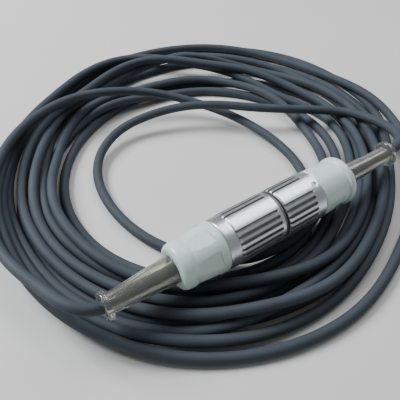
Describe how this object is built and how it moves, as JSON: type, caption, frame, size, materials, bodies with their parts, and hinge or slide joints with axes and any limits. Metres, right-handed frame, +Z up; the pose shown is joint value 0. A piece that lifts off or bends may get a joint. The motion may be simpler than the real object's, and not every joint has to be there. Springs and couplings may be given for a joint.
{
  "type": "instrument cable",
  "caption": "Round multicore instrument cable in a loose coil, its in-line plug and socket mated across the top, with fluted metal shells, pale caps and clear bend-relief sleeves.",
  "frame": {"origin": "centre of the mated plug and socket, on their common axis; the coil lies on the plane z = -26.5 mm", "axes": "+X along the mated pair from the plug to the socket, +Z up from the surface the coil lies on, +Y across the coil"},
  "size_m": [0.2858, 0.2781, 0.0404],
  "materials": {
    "cord_rubber": "matt slate grey rubber, faintly mottled",
    "clear_vinyl": "clear soft vinyl, yellowed",
    "pale_moulding": "pale grey-green moulding, slightly soiled",
    "turned_aluminium": "bright turned and fluted",
    "spring_steel": "plain",
    "seal_rubber": "black, smooth",
    "plated_brass": "nickel plated",
    "black_insulator": "black phenolic",
    "gilt_contact": "gilt",
    "core_insulation": "coloured core insulation"
  },
  "bodies": {
    "socket_half": {"cord_coil": "cord_rubber", "cord_plug_lead": "cord_rubber", "cord_socket_lead": "cord_rubber", "cord_socket_end": "cord_rubber", "socket_sleeve": "clear_vinyl", "socket_cap": "pale_moulding", "socket_shell": "turned_aluminium", "socket_set_screw": "spring_steel", "sealing_ring": "seal_rubber", "socket_clamp_bush": "seal_rubber", "socket_clamp_washers": "plated_brass", "socket_insulator": "black_insulator", "socket_contacts": "gilt_contact", "socket_cores": "core_insulation"},
    "plug_half": {"plug_sleeve": "clear_vinyl", "plug_cap": "pale_moulding", "plug_shell": "turned_aluminium", "nut_retaining_ring": "spring_steel", "plug_insulator": "black_insulator", "plug_pins": "gilt_contact", "plug_clamp_washers": "plated_brass", "plug_clamp_bush": "seal_rubber", "plug_cores": "core_insulation", "cord_plug_end": "cord_rubber"},
    "coupling_nut": {"coupling_nut": "turned_aluminium"}
  },
  "joints": [
    {"name": "plug_pull", "type": "slide", "parent": "socket_half", "child": "plug_half", "axis": [-1, 0, 0], "range_m": [0, 0.02], "deforming": ["cord_plug_lead"]},
    {"name": "nut_turn", "type": "hinge", "parent": "plug_half", "child": "coupling_nut", "pos_m": [-0.011, 0, 0], "axis": [1, 0, 0], "continuous": true}
  ]
}
